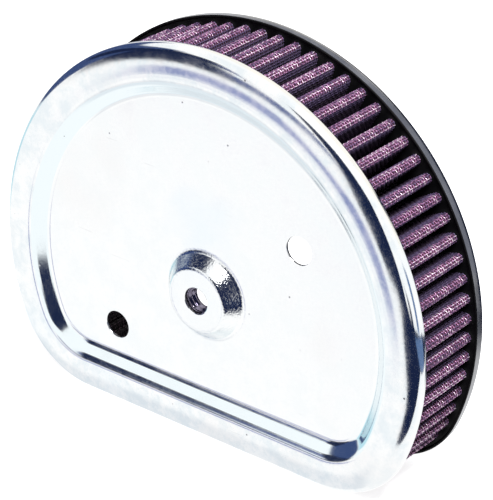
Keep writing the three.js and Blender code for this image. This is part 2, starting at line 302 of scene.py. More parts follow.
def ring_object(name, rows, sharp=40.0):
    """A closed piece from rows of points that each run right round it."""
    rows = np.array(rows)
    return make_object(name, rows.reshape(-1, 3), ring_faces(*rows.shape[:2]), sharp)


def sweep(name, section, sharp):
    """Sweeps a closed [inset, depth] section round the outline."""
    return ring_object(name, [outline_row(inset, depth) for inset, depth in section], sharp)


def face_vectors(mesh, kind):
    """The centre or the normal of each face, as rows."""
    values = np.empty(len(mesh.polygons) * 3, np.float32)
    mesh.polygons.foreach_get(kind, values)
    return values.reshape(-1, 3)


def paint_points(mesh, name, values):
    """Gives each point a number that the material reads."""
    attribute = mesh.attributes.new(name, "FLOAT", "POINT")
    attribute.data.foreach_set("value", values.astype(np.float32).ravel())


def paint_faces(mesh, slots):
    """Gives each face one of the mesh's materials."""
    mesh.polygons.foreach_set("material_index", slots.astype(np.int32))
    mesh.update()


def apply_modifiers(obj):
    """Replaces a mesh with what its modifiers make of it."""
    graph = bpy.context.evaluated_depsgraph_get()
    mesh = bpy.data.meshes.new_from_object(obj.evaluated_get(graph), depsgraph=graph)
    old = obj.data
    obj.modifiers.clear()
    obj.data = mesh
    mesh.name = obj.name
    bpy.data.meshes.remove(old)


def distance_finder(cloud):
    """A function that gives how far [x, z] points lie from the nearest point of a cloud."""
    tree = kdtree.KDTree(len(cloud))
    for index, (x, z) in enumerate(cloud):
        tree.insert((x, 0.0, z), index)
    tree.balance()
    return lambda points: np.array([tree.find((x, 0.0, z))[2] for x, z in points])


# ---- materials


class Graph:
    """A node tree, with short helpers for the nodes that repeat."""

    def __init__(self, tree):
        self.tree = tree

    def new(self, kind, **values):
        node = self.tree.nodes.new(kind)
        for name, value in values.items():
            setattr(node, name, value)
        return node

    def link(self, source, target):
        """Sets an input to a number or a colour, or joins it to another node's output."""
        if isinstance(source, (int, float)):
            target.default_value = source
        elif isinstance(source, tuple):
            target.default_value = (*source, 1.0)
        else:
            self.tree.links.new(source, target)

    def split(self, vector, axis):
        node = self.new("ShaderNodeSeparateXYZ")
        self.link(vector, node.inputs[0])
        return node.outputs[axis]

    def math(self, operation, a, b=0.0):
        node = self.new("ShaderNodeMath", operation=operation)
        self.link(a, node.inputs[0])
        self.link(b, node.inputs[1])
        return node.outputs[0]

    def product(self, first, *others):
        for other in others:
            first = self.math("MULTIPLY", first, other)
        return first

    def spread(self, value, low, high, to_low=0.0, to_high=1.0):
        """Maps a range onto another one smoothly. High may be the smaller end."""
        node = self.new("ShaderNodeMapRange", interpolation_type="SMOOTHSTEP")
        for name, number in (("From Min", low), ("From Max", high), ("To Min", to_low), ("To Max", to_high)):
            node.inputs[name].default_value = number
        self.link(value, node.inputs["Value"])
        return node.outputs["Result"]

    def mix(self, factor, a, b):
        node = self.new("ShaderNodeMix", data_type="RGBA")
        self.link(factor, node.inputs["Factor"])
        sockets = [socket for socket in node.inputs if socket.type == "RGBA"]
        self.link(a, sockets[0])
        self.link(b, sockets[1])
        return [socket for socket in node.outputs if socket.type == "RGBA"][0]


class Surface(Graph):
    """A material. Its keywords set the shader's inputs, with _ for a space in their names."""

    def __init__(self, name, **inputs):
        self.material = bpy.data.materials.new(name)
        self.material.use_nodes = True
        super().__init__(self.material.node_tree)
        self.shader = self.tree.nodes["Principled BSDF"]
        self.place = self.new("ShaderNodeTexCoord").outputs["Object"]
        for key, value in inputs.items():
            self.link(value, self.shader.inputs[key.replace("_", " ")])

    def noise(self, scale, detail=2.0, rough=0.5, vector=None):
        node = self.new("ShaderNodeTexNoise")
        node.inputs["Scale"].default_value = scale
        node.inputs["Detail"].default_value = detail
        node.inputs["Roughness"].default_value = rough
        self.link(vector or self.place, node.inputs["Vector"])
        return node.outputs["Fac"]

    def stretched_noise(self, scale, detail, rough):
        """Noise with a scale of its own along each axis."""
        node = self.new("ShaderNodeMapping")
        node.inputs["Scale"].default_value = scale
        self.link(self.place, node.inputs["Vector"])
        return self.noise(1.0, detail, rough, node.outputs["Vector"])

    def dots(self, scale, low, high):
        """Round spots that fade out between two distances, in cells."""
        node = self.new("ShaderNodeTexVoronoi")
        node.inputs["Scale"].default_value = scale
        self.link(self.place, node.inputs["Vector"])
        return self.spread(node.outputs["Distance"], high, low)

    def attribute(self, name):
        return self.new("ShaderNodeAttribute", attribute_name=name).outputs["Fac"]

    def axis_distance(self):
        """Distance from the front-to-back line through the centre of the D."""
        flat = self.new("ShaderNodeVectorMath", operation="MULTIPLY_ADD")
        self.link(self.place, flat.inputs[0])
        flat.inputs[1].default_value = (1, 0, 1)
        flat.inputs[2].default_value = (0, 0, -CENTRE_Z * MM)
        length = self.new("ShaderNodeVectorMath", operation="LENGTH")
        self.link(flat.outputs["Vector"], length.inputs[0])
        return length.outputs["Value"]

    def finish(self, colour, rough=None):
        """Joins the colour, and the roughness where it varies, to the shader."""
        self.link(colour, self.shader.inputs["Base Color"])
        if rough is not None:
            self.link(rough, self.shader.inputs["Roughness"])

    def bump(self, height, distance, strength):
        """Adds relief of a height in millimetres to any that is there already."""
        node = self.new("ShaderNodeBump")
        node.inputs["Strength"].default_value = strength
        node.inputs["Distance"].default_value = distance * MM
        self.link(height, node.inputs["Height"])
        target = self.shader.inputs["Normal"]
        if target.is_linked:
            self.link(target.links[0].from_socket, node.inputs["Normal"])
        self.link(node.outputs["Normal"], target)


def plated_steel():
    """Bright zinc plate: blue-white, faintly mottled, with pits, specks and a few scuffs, and a painted cyan
    reflection on the recess wall.
    """
    zinc, blue_cloud = (0.925, 0.935, 0.935), (0.78, 0.835, 0.865)
    warm_bloom, cool_bloom = (0.86, 0.85, 0.845), (0.78, 0.87, 0.93)
    painted_wall_reflection, speck_tint, scuff_tint = (0.83, 0.90, 0.925), (0.20, 0.19, 0.20), (0.42, 0.42, 0.44)
    n = Surface("bright_zinc_plate", Metallic=1.0)
    cloud = n.noise(100, 5, 0.68)
    bloom = n.noise(16, 3, 0.55)
    grain = n.noise(900, 2, 0.6)
    axis = n.axis_distance()
    # the rim is more mottled than the pressed floor and the boss
    rim = n.product(n.spread(n.split(n.place, "Y"), (RIM_Y + 3.2) * MM, (RIM_Y + 2.0) * MM),
                    n.spread(axis, BOSS_EDGE * MM, (BOSS_EDGE + 2.0) * MM))
    mottle = n.product(n.spread(cloud, 0.62, 0.36), n.spread(rim, 0.0, 1.0, 0.3, 1.0))
    speck = n.product(n.dots(150, 0.03, 0.07), n.spread(n.noise(60, 1), 0.52, 0.6))
    scuff_line = n.stretched_noise((60, 60, 1300), 2, 0.5)
    scuff = n.product(n.spread(scuff_line, 0.69, 0.74), n.spread(n.noise(38, 1), 0.55, 0.66))
    tone = n.mix(mottle, zinc, blue_cloud)
    tone = n.mix(n.spread(bloom, 0.54, 0.74, 0.0, 0.5), tone, warm_bloom)
    tone = n.mix(n.spread(bloom, 0.44, 0.28, 0.0, 0.4), tone, cool_bloom)
    # painted reflection: the recess wall takes a cyan cast
    tone = n.mix(n.attribute("wall"), tone, painted_wall_reflection)
    tone = n.mix(n.product(speck, 0.75), tone, speck_tint)
    tone = n.mix(n.product(scuff, 0.18), tone, scuff_tint)
    rough = n.math("ADD", n.spread(cloud, 0.3, 0.7, 0.07, 0.14), n.product(speck, 0.4))
    n.finish(tone, n.math("ADD", rough, n.spread(grain, 0.3, 0.8, 0.0, 0.04)))
    # the stretched flank of the boss has an orange-peel skin
    flank = n.product(n.spread(axis, 10.8 * MM, 12.2 * MM), n.spread(axis, 18.6 * MM, 17.2 * MM))
    n.bump(n.noise(70, 2), 0.10, 0.25)
    n.bump(n.product(n.noise(1150, 3, 0.6), flank), 0.11, 1.0)
    n.bump(grain, 0.006, 0.6)
    n.bump(speck, -0.03, 0.6)
    return n.material


def sheared_steel():
    """The dull wall that a punch leaves round a hole, darker than bare steel as painted shade of the sheet's
    thickness.
    """
    n = Surface("sheared_edge_painted_shade", Metallic=1.0)
    streak = n.stretched_noise((1500, 150, 1500), 2, 0.6)
    # near-black tones: partly the real cut edge, partly painted shade
    tone = n.mix(n.spread(streak, 0.35, 0.7), (0.05, 0.05, 0.06), (0.17, 0.17, 0.19))
    n.finish(tone, n.spread(streak, 0.3, 0.8, 0.35, 0.6))
    n.bump(streak, 0.01, 0.6)
    return n.material


def raw_steel(name, base, stain, rough_low, rough_high, grain_scale):
    """Plain steel with a drawn grain, light stains and handling marks."""
    mark = (0.16, 0.15, 0.15)
    n = Surface(name, Metallic=1.0)
    cloud = n.noise(55, 4, 0.6)
    grain = n.stretched_noise(grain_scale, 3, 0.6)
    spot = n.product(n.dots(190, 0.03, 0.09), n.spread(n.noise(50, 1), 0.5, 0.6))
    tone = n.mix(n.spread(cloud, 0.35, 0.7), stain, base)
    tone = n.mix(n.product(spot, 0.6), tone, mark)
    n.finish(tone, n.math("ADD", n.spread(cloud, 0.3, 0.7, rough_low, rough_high), n.product(grain, 0.06)))
    n.bump(grain, 0.008, 0.5)
    n.bump(n.noise(300, 2), 0.01, 0.5)
    return n.material


def potting(name):
    """Cured black urethane: satin, softly uneven, with dust and small bubbles."""
    n = Surface(name, Metallic=0.0, Specular_IOR_Level=0.08)
    dust = n.noise(70, 5, 0.65)
    tone = n.mix(n.spread(dust, 0.5, 0.8), (0.003, 0.003, 0.0035), (0.013, 0.012, 0.013))
    n.finish(tone, n.spread(dust, 0.3, 0.8, 0.42, 0.72))
    n.bump(n.noise(160, 3), 0.12, 0.5)
    n.bump(n.dots(420, 0.05, 0.2), -0.08, 0.4)
    return n.material


def rubber():
    """Matte black moulded rubber with fine grain and a chalky bloom."""
    n = Surface("moulded_rubber", Metallic=0.0, Specular_IOR_Level=0.3)
    bloom = n.noise(90, 4, 0.6)
    tone = n.mix(n.spread(bloom, 0.45, 0.8), (0.011, 0.011, 0.012), (0.045, 0.044, 0.045))
    n.finish(tone, n.spread(bloom, 0.3, 0.8, 0.62, 0.85))
    n.bump(n.noise(1400, 2), 0.02, 0.6)
    return n.material


def gauze():
    """Oiled cotton gauze: a magenta plain weave, patchy with oil, with painted shade that darkens it down in
    the folds.
    """
    weave_pitch = 0.62
    shade, thread = (0.028, 0.004, 0.013), (0.105, 0.016, 0.045)
    oily, deep = (0.11, 0.028, 0.068), (0.006, 0.004, 0.008)
    n = Surface("oiled_cotton_gauze", Metallic=0.0, Roughness=0.9, Sheen_Weight=0.25,
                Sheen_Roughness=0.4, Specular_IOR_Level=0.3)
    strip = n.new("ShaderNodeUVMap", uv_map="Strip").outputs["UV"]
    waves = [n.math("SINE", n.product(n.split(strip, axis), 2 * math.pi / weave_pitch)) for axis in "XY"]
    weave = n.product(n.math("ADD", n.product(*waves), 1.0), 0.5)
    tone = n.mix(weave, shade, thread)
    tone = n.mix(n.spread(n.noise(60, 4, 0.6), 0.45, 0.75, 0.0, 0.5), tone, oily)
    # painted shade: the gauze goes near black deeper in each fold, by the fold attribute
    tone = n.mix(n.spread(n.attribute("fold"), 0.06, 0.30, 0.0, 0.95), tone, deep)
    n.finish(tone)
    n.bump(weave, 0.15, 0.7)
    n.bump(n.noise(2500, 2), 0.03, 0.5)
    return n.material


def wire(name, colour, roughness):
    """Coated aluminium wire. Each wire takes one of a few tints, as its oil film varies; darker copies of it
    are painted shade.
    """
    return Surface(name, Metallic=0.4, Roughness=roughness, Base_Color=colour).material


def glowing(name, colour, glow, strength):
    """A matte stage surface with a glow of its own."""
    return Surface(name, Roughness=1.0, Specular_IOR_Level=0.0, Base_Color=colour,
                   Emission_Color=glow, Emission_Strength=strength).material


# ---- front plate


def plate_path():
    """The plate's front face as [inset, depth] rows: skirt, rolled shoulder, crowned rim, recess wall."""
    crown_outer = SHOULDER * (1 - math.sin(CROWN_TILT))
    crown_inner = crown_outer + CROWN_WIDTH
    crown_radius = CROWN_WIDTH / math.sin(CROWN_TILT)
    shoulder_depth = CROWN_WIDTH * math.tan(CROWN_TILT / 2) + SHOULDER * math.cos(CROWN_TILT)
    rows = [(0.0, SKIRT_DEPTH)]
    for angle in np.linspace(math.pi / 2, CROWN_TILT, 15):
        rows.append((SHOULDER * (1 - math.sin(angle)), shoulder_depth - SHOULDER * math.cos(angle)))
    for angle in np.linspace(CROWN_TILT, 0.0, 9)[1:-1]:
        rows.append((crown_inner - crown_radius * math.sin(angle), crown_radius * (1 - math.cos(angle))))
    step = round_corners([
        (crown_inner, 0.0),
        (WALL_TOP, 0.0, 6.0, 20),
        (WALL_FOOT, RECESS, 4.0, 14),
        (PRESSED_RING, RECESS),
    ])
    return np.vstack([rows, step])


def boss_path():
    """The boss's front face as [radius, depth] rows, from the pressed floor to the hole."""
    return round_corners([
        (BOSS_EDGE, RECESS),
        (BOSS_FOOT, RECESS, 2.0, 8),
        (BOSS_TOP, -BOSS_PROUD, 1.9, 10),
        (BOSS_HOLE, -BOSS_PROUD),
    ])


def front_plate():
    """The stamped plate: skirt, shoulder, crowned rim, recess and boss as one sheet with three holes."""
    front, boss = plate_path(), boss_path()
    back, boss_back = offset_path(front, SHEET), offset_path(boss, -SHEET)
    ring = outline(PRESSED_RING)
    angles = np.arctan2(ring[:, 1] - CENTRE_Z, ring[:, 0])

    def floor_rows(depth):
        """Rows that turn from the pressed ring's outline into the boss's circle."""
        start, end = outline_row(PRESSED_RING, depth), circle_row(angles, BOSS_EDGE, depth)
        return [start * (1 - share) + end * share for share in np.linspace(0, 1, 12)[1:-1]]

    foot_in, foot_out = back[0][0], front[0][0]
    rows = [
        outline_row(foot_out * 0.75 + foot_in * 0.25, SKIRT_DEPTH),
        outline_row(foot_out, SKIRT_DEPTH - 0.25),
    ]
    wall_from = len(rows)
    rows += [outline_row(*point) for point in front[1:]]
    wall_to = len(rows)
    rows += floor_rows(RECESS)
    rows += [circle_row(angles, *point) for point in boss[:-1]]
    # the edge of the hole, from its front round to its back
    for radius, depth in ((0.3, 0.0), (0.08, 0.1), (0.0, 0.35), (0.0, SHEET - 0.2), (0.2, SHEET)):
        rows.append(circle_row(angles, BOSS_HOLE + radius, depth - BOSS_PROUD))
    rows += [circle_row(angles, *point) for point in boss_back[-2::-1]]
    rows += floor_rows(RECESS + SHEET)[::-1]
    rows += [outline_row(*point) for point in back[:0:-1]]
    rows.append(outline_row(foot_in, SKIRT_DEPTH - 0.25))
    rows.append(outline_row(foot_in * 0.75 + foot_out * 0.25, SKIRT_DEPTH))
    plate = ring_object("front_plate_stamping", rows)

    # the recess wall's points, which the material gives a painted reflection tint
    on_wall = (front[1:, 0] > WALL_TOP - 0.4) & (front[1:, 0] < WALL_FOOT - 0.2)
    wall = np.zeros((len(rows), len(ring)))
    wall[wall_from:wall_to][on_wall] = 1.0
    paint_points(plate.data, "wall", wall)
    for index, (x, rise) in enumerate(PUNCHED_HOLES):
        cutter = hole_cutter(f"cutter_{index}", x, CENTRE_Z + rise)
        cut = plate.modifiers.new("hole", "BOOLEAN")
        cut.operation = "DIFFERENCE"
        cut.solver = "EXACT"
        cut.object = cutter
        apply_modifiers(plate)
        bpy.data.objects.remove(cutter)
    plate.data.set_sharp_from_angle(angle=math.radians(40))
    # faces square to the front keep their own normals, so that flat sheet mirrors as a flat
    facing = np.abs(face_vectors(plate.data, "normal")[:, 1])
    plate.data.polygons.foreach_set("use_smooth", facing < 0.99999)
    return plate


def hole_cutter(name, x, z):
    """A punch shape: straight through the sheet, flared where it enters and leaves."""
    r = PUNCHED_RADIUS
    front, rear = -0.8, SHEET + 0.8
    # radius, and depth behind the pressed floor
    profile = [(r + 0.95, front), (r + 0.12, 0.05), (r, 0.2), (r, SHEET - 0.2), (r + 0.1, SHEET - 0.03),
               (r + 0.9, rear)]
    steps = 72
    turns = [2 * math.pi * k / steps for k in range(steps)]
    verts = [(x, RIM_Y + RECESS + front, z)]
    for radius, depth in profile:
        verts += [(x + radius * math.cos(a), RIM_Y + RECESS + depth, z + radius * math.sin(a)) for a in turns]
    verts.append((x, RIM_Y + RECESS + rear, z))
    last = 1 + (len(profile) - 1) * steps
    faces = []
    for k in range(steps):
        right = (k + 1) % steps
        faces.append((0, 1 + k, 1 + right))
        faces.append((len(verts) - 1, last + right, last + k))
        for a in range(1, last, steps):
            b = a + steps
            faces.append((a + k, b + k, b + right))
            faces.append((a + k, b + right, a + right))
    return make_object(name, verts, faces)


def mark_sheared_walls(mesh):
    """Gives the walls of the three holes the second material."""
    x, _, z = (face_vectors(mesh, "center") / MM).T
    upright = np.abs(face_vectors(mesh, "normal")[:, 1]) < 0.3
    sheared = np.hypot(x, z - CENTRE_Z) < BOSS_HOLE + 0.06
    for hole_x, rise in PUNCHED_HOLES:
        away = np.hypot(x - hole_x, z - CENTRE_Z - rise)
        sheared |= (away > PUNCHED_RADIUS - 0.1) & (away < PUNCHED_RADIUS + 0.12)
    paint_faces(mesh, upright & sheared)


# ---- threaded insert


def thread_insert():
    """Round flange, hexagonal body and a bore with a real helical thread."""
    around = 120
    flange, hexagon, bore = 9.0, 7.2, 3.9
    front, flange_rear, rear = -0.2, 1.1, 5.0
    thread_pitch, thread_depth, thread_steps = 1.95, 0.9, 64
    thread_front, thread_rear = front + 0.12, rear - 0.12
    root = bore + thread_depth
    angles = np.arange(around) * 2 * math.pi / around
    sector = np.mod(angles, math.pi / 3) - math.pi / 6
    hexagon_edge = hexagon * math.cos(math.pi / 6) / np.cos(sector)
    outside = [
        (root + 0.25, front),
        (flange - 0.3, front),
        (flange, front + 0.25),
        (flange, flange_rear - 0.25),
        (flange - 0.3, flange_rear),
        (hexagon_edge, flange_rear),
        (hexagon_edge, rear - 0.4),
        (np.minimum(hexagon_edge, hexagon * 0.93), rear - 0.1),
        (np.minimum(hexagon_edge, hexagon * 0.88), rear),
        (root + 0.2, rear),
    ]
    rows = [circle_row(angles, radius, depth) for radius, depth in outside]
    for depth in np.linspace(thread_rear, thread_front, thread_steps + 1):
        turn = np.mod(depth / thread_pitch - angles / (2 * math.pi), 1.0)
        ridge = np.clip(np.abs(turn - 0.5) * 2 * 1.35 - 0.18, 0, 1)
        # the thread runs out over half a millimetre at each end
        fade = min(1.0, (rear - 0.1 - depth) / 0.5, (depth - front - 0.1) / 0.5)
        rows.append(circle_row(angles, bore + thread_depth * (1 - ridge * max(fade, 0.0)), depth))
    return ring_object("boss_insert_thread", rows, 32.0)


# ---- pleated pack


def pleat_curve():
    """The pack's outer face: dense points round all the pleats, and normals that point into the pack."""
    index = np.arange(PLEATS)
    crest_point, crest_in = outline_frames((index + PHASE) / PLEATS)
    valley_point, valley_in = outline_frames((index + PHASE + 0.5) / PLEATS)
    crest = crest_point + crest_in * (CREST_INSET + CREST_RADIUS)
    valley = valley_point + valley_in * (VALLEY_INSET - VALLEY_RADIUS)
    reach = CREST_RADIUS + VALLEY_RADIUS

    def heading(delta, sign):
        """The direction of the straight flank that touches a crest's circle and a valley's."""
        length = np.hypot(delta[:, 0], delta[:, 1])
        return np.arctan2(delta[:, 1], delta[:, 0]) + sign * np.arcsin(reach / length)

    leave = heading(valley - crest, 1)
    arrive = heading(np.roll(crest, -1, 0) - valley, -1)
    points, normals = [], []

    def arc(centre, radius, start, turn, steps):
        for step in range(steps + 1):
            t = start + turn * step / steps
            normal = np.array([-math.sin(t), math.cos(t)])
            points.append(centre + radius * normal)
            normals.append(normal)

    for k in range(PLEATS):
        crest_turn = np.mod(leave[k] - arrive[k - 1], 2 * math.pi)
        valley_turn = -np.mod(leave[k] - arrive[k], 2 * math.pi)
        arc(crest[k], -CREST_RADIUS, arrive[k - 1], crest_turn, CREST_STEPS)
        arc(valley[k], VALLEY_RADIUS, leave[k], valley_turn, VALLEY_STEPS)
    return np.array(points), np.array(normals)


def closed(values):
    """A loop of values with its first one again at the end."""
    return np.concatenate([values, values[:1]])


def fold_depth(points):
    """How deep points lie in a fold: 0 at a crest's top, 1 at a valley's floor."""
    edge, _ = outline_frames((np.arange(3600) + 0.5) / 3600)
    return (distance_finder(edge)(points) - CREST_INSET) / (VALLEY_INSET - CREST_INSET)


CURVE, CURVE_NORMAL = pleat_curve()
CURVE_AT = np.concatenate([[0.0], np.cumsum(np.linalg.norm(np.diff(closed(CURVE), axis=0), axis=1))])
CURVE_LENGTH = CURVE_AT[-1]
CURVE_FOLD = fold_depth(CURVE)


def on_curve(distance, offset=0.0):
    """Points and normals at distances along the curve, moved inward by an offset."""
    distance = np.mod(distance, CURVE_LENGTH)
    point, normal = (
        np.stack([np.interp(distance, CURVE_AT, column) for column in closed(values).T], -1)
        for values in (CURVE, CURVE_NORMAL)
    )
    normal /= np.linalg.norm(normal, axis=1, keepdims=True)
    return point + normal * offset, normal


def gauze_sheet():
    """The folded gauze: a closed thin sheet that follows the curve, a little uneven as cloth is."""
    offset, thickness, unevenness = 0.66, 0.42, 0.03
    depths = np.linspace(PACK_FRONT, PACK_REAR, 9)
    count = len(CURVE)
    wobble = rng.normal(0, 1, (len(depths), PLEATS))
    pleat = np.repeat(np.arange(PLEATS), count // PLEATS)
    outer, inner = [], []
    for depth, pushes in zip(depths, wobble):
        for side, rows in ((offset, outer), (offset + thickness, inner)):
            push = side + unevenness * pushes[pleat]
            rows.append(at_depth(CURVE + CURVE_NORMAL * push[:, None], depth))
    rows = outer + inner[::-1]
    obj = ring_object("cotton_gauze_strip", rows, 60.0)
    mesh = obj.data
    paint_points(mesh, "fold", np.tile(CURVE_FOLD, len(rows)))
    # the weave's coordinates: distance along the strip and across it, in millimetres
    corners = np.empty(len(mesh.loops), np.int32)
    mesh.loops.foreach_get("vertex_index", corners)
    along = np.tile(CURVE_AT[:-1], len(rows))[corners]
    across = np.array(rows)[:, :, 1].ravel()[corners]
    quads = np.stack([along, across], -1).reshape(-1, 4, 2)
    # the faces that close the strip end at its full length, not back at nought
    wraps = np.ptp(quads[:, :, 0], axis=1) > CURVE_LENGTH / 2
    quads[wraps, :, 0] += np.where(quads[wraps, :, 0] < CURVE_LENGTH / 2, CURVE_LENGTH, 0.0)
    mesh.uv_layers.new(name="Strip").data.foreach_set("uv", quads.astype(np.float32).ravel())
    return obj


def tubes(centres, normals, sides, loop):
    """Three-sided wires through rows of centres: arrays of wires x points x 3."""
    wires, count = centres.shape[:2]
    rings = []
    for k in range(3):
        angle = math.pi / 2 + 2 * math.pi * k / 3
        rings.append(centres + WIRE_RADIUS * (math.sin(angle) * normals + math.cos(angle) * sides))
    wire_start = np.arange(wires)[:, None, None] * count * 3
    here = np.arange(count if loop else count - 1)[None, :, None]
    there = (here + 1) % count
    corner = np.arange(3)[None, None, :]
    right = (corner + 1) % 3
    quads = [here * 3 + corner, here * 3 + right, there * 3 + right, there * 3 + corner]
    return np.stack(rings, 2).reshape(-1, 3), np.stack([wire_start + q for q in quads], -1).reshape(-1, 4)


def screen_weave(name, offset, flip, tints, weights, shades=()):
    """A plain-woven wire screen folded like the gauze: real wires, over and under each other."""
    count = int(round(CURVE_LENGTH / WIRE_PITCH / 2)) * 2
    rows = int(round((PACK_REAR - PACK_FRONT) / WIRE_PITCH)) + 1
    step = CURVE_LENGTH / count
    depths = np.linspace(PACK_FRONT, PACK_REAR, rows)
    # a wire lies inside the one it crosses where its lift is above nought
    parity = (np.arange(count)[:, None] + np.arange(rows)[None, :]) % 2
    lift = flip * WIRE_RADIUS * (1.0 - 2.0 * parity)

    def wires(at, lifts):
        """Centres of wires at distances along the curve, and the normals there."""
        point, normal = on_curve(at, offset)
        base, normal = (np.column_stack([xz[:, 0], np.zeros(len(at)), xz[:, 1]]) for xz in (point, normal))
        return base + normal * lifts[:, :, None], normal

    # wires that run front to back
    at = (np.arange(count) + 0.5) * step
    long_centres, normal = wires(at, lift.T)
    long_centres[:, :, 1] = RIM_Y + depths[:, None]
    side = np.column_stack([normal[:, 2], np.zeros(count), -normal[:, 0]])
    long_verts, long_quads = tubes(long_centres.transpose(1, 0, 2), normal[:, None], side[:, None], False)
    # wires that run round the folds, with an extra point between two crossings where the curve bends
    crossing = np.repeat(np.arange(count), 2)
    extra = np.tile([False, True], count)
    round_at = at[crossing] + extra * step / 2
    bend = on_curve(round_at)[1]
    bend = np.abs((np.roll(bend, -1, 0) * np.roll(bend, 1, 0)).sum(1))
    keep = ~extra | (bend < 0.995)
    crossing, extra, round_at = crossing[keep], extra[keep], round_at[keep]
    round_centres, normal = wires(round_at, np.where(extra, 0.0, -lift.T[:, crossing]))
    round_centres[:, :, 1] = RIM_Y + depths[:, None]
    round_verts, round_quads = tubes(round_centres, normal[None], np.array([0.0, 1.0, 0.0]), True)
    # triangles close the ends of the front-to-back wires
    first = np.arange(count) * rows * 3
    last = first + (rows - 1) * 3
    caps = np.vstack([np.stack([first + 2, first + 1, first], -1), np.stack([last, last + 1, last + 2], -1)])
    verts = np.vstack([long_verts, round_verts])
    obj = mesh_object(name, verts, np.vstack([long_quads, round_quads + len(long_verts)]), caps)

    # each wire has a tint of its own, and every second stretch of it is one tint darker, a painted shade that
    # alternates along the weave
    pick = rng.choice(len(weights), count + rows, p=weights)
    long_slots = pick[:count, None] + parity[:, :-1]
    round_slots = pick[count:, None] + parity.T[:, crossing]
    slots = np.concatenate([np.repeat(long_slots, 3), np.repeat(round_slots, 3), pick[:count], pick[:count]])
    materials = [*tints, *shades]
    slots = np.minimum(slots, len(materials) - 1)
    # down in the folds all wires take the painted shades instead
    long_fold, round_fold = (np.interp(where, CURVE_AT, closed(CURVE_FOLD)) for where in (at, round_at))
    fold = np.concatenate([np.repeat(long_fold, 3 * (rows - 1)), np.tile(np.repeat(round_fold, 3), rows),
                           long_fold, long_fold])
    for shade, limit in enumerate(SHADED_FOLDS[:len(shades)]):
        slots = np.where(fold > limit, len(tints) + shade, slots)
    for material in materials:
        obj.data.materials.append(material)
    paint_faces(obj.data, slots)
    return obj


# ---- potting, pan, seal, crimp


def potting_ring(name, section, bed, forward, climb):
    """A ring of potting whose open face lies at the bed's depth and creeps up the pleats in it.

    Section lists the hidden walls, and the open face runs from its last point to its first.
    Forward is 1 where the face looks to the front, and -1 where it looks to the rear."""
    columns = PLEATS * 20
    fade, edge_climb, edge_fade = 0.45, 0.35, 0.5
    point, inward = outline_frames(np.arange(columns) / columns)
    pack, _ = on_curve(np.linspace(0, CURVE_LENGTH, 16000, endpoint=False), PACK_MIDDLE)
    pack_distance = distance_finder(pack)
    rows = [at_depth(point + inward * inset, depth) for inset, depth in section]
    ends = (section[-1][0], section[0][0])
    for inset in np.linspace(*ends, 44)[1:-1]:
        xz = point + inward * inset
        gap = np.maximum(pack_distance(xz) - PACK_MIDDLE, 0)
        edge = edge_climb * math.exp(-min(abs(inset - end) for end in ends) / edge_fade)
        ripple = 0.08 * np.sin(xz[:, 0] * 0.21 + 1.3) * np.sin(xz[:, 1] * 0.17)
        rows.append(at_depth(xz, bed - forward * (climb * np.exp(-gap / fade) + edge) + ripple))
    return ring_object(name, rows, 50.0)


def front_potting():
    bed, floor_depth, rear = 6.9, RECESS + SHEET + 0.3, 9.0
    section = [(19.7, bed), (19.7, rear - 0.3), (20.0, rear), (21.7, rear), (22.0, rear - 0.3),
               (22.0, floor_depth), (18.1, floor_depth), (13.2, 1.4), (5.6, 1.9), (2.2, 4.0),
               (1.3, 5.2), (1.3, 5.6)]
    return potting_ring("front_urethane_bed", section, bed, -1, 0.6)


def rear_potting():
    bed, groove, rear = 36.7, GROOVE_FLOOR - 1.2, PAN_REAR - 1.2
    section = [(1.2, bed), (1.2, groove), (2.7, rear), (4.0, rear), (5.5, groove), (17.5, groove),
               (19.0, rear), (19.8, rear - 0.5), (19.8, bed)]
    return potting_ring("rear_urethane_bed", section, bed + 0.1, 1, 0.55)


def rear_pan():
    """The steel pan: straight outer wall, rolled rear shoulder, seal groove and inner flange."""
    path = round_corners([
        (0.0, PAN_LIP),
        (0.0, PAN_REAR, 3.8, 14),
        (4.5, PAN_REAR, 0.8, 4),
        (6.0, GROOVE_FLOOR, 0.8, 4),
        (17.0, GROOVE_FLOOR, 0.8, 4),
        (18.5, PAN_REAR, 0.8, 4),
        (PAN_INNER, PAN_REAR, 1.5, 6),
        (PAN_INNER, 36.5),
    ])
    return sweep("rear_steel_pan", sheet_section(path, -PAN_SHEET, 0.28), 35.0)


def mark_pan_lip(mesh):
    """Gives the pan's cut front edge, which the potting runs over, the second material."""
    depth = face_vectors(mesh, "center")[:, 1] / MM - RIM_Y
    paint_faces(mesh, depth < PAN_LIP + 0.2)


def seal():
    """A moulded gasket with rounded shoulders, seated in the pan's groove."""
    outer, inner, radius = 6.9, 16.1, 1.0
    front, shoulder = GROOVE_FLOOR + 0.3, SEAL_REAR - radius
    quarter = [math.pi / 2 * k / 6 for k in range(7)]
    path = [(outer, front), (inner, front), (inner, shoulder)]
    for angle in quarter:
        path.append((inner - radius + math.cos(angle), shoulder + math.sin(angle)))
    path.append(((outer + inner) / 2, SEAL_REAR))
    for angle in quarter[::-1]:
        path.append((outer + radius - math.cos(angle), shoulder + math.sin(angle)))
    return sweep("rear_rubber_seal", np.array(path), 50.0)


